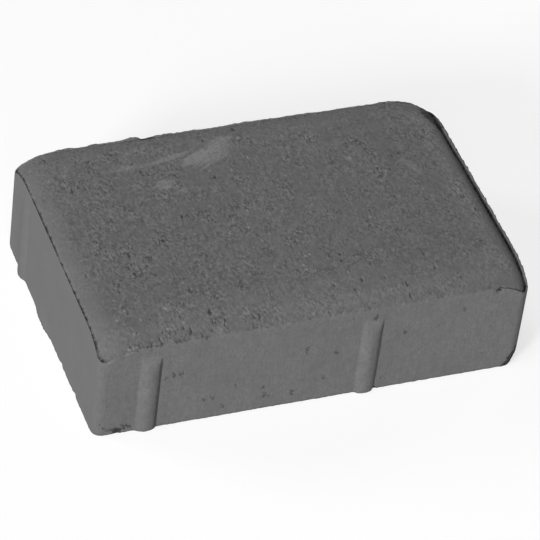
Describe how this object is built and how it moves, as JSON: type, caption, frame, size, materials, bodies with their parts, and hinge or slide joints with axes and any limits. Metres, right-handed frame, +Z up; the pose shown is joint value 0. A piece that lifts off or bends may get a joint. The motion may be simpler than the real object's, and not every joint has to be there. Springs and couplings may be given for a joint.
{
  "type": "concrete paving stone",
  "caption": "Rectangular concrete paving stone: a flat top that rolls down to upright sides, and ribs on the sides that space it from the next stone.",
  "frame": {"origin": "middle of the bed face, on the ground", "axes": "+X along the stone, +Y across it, +Z up from the bed face to the top"},
  "size_m": [0.211, 0.14, 0.055],
  "materials": {
    "concrete": "matt, fine sandy grain"
  },
  "bodies": {
    "root": {"paving_stone": "concrete"}
  },
  "joints": []
}
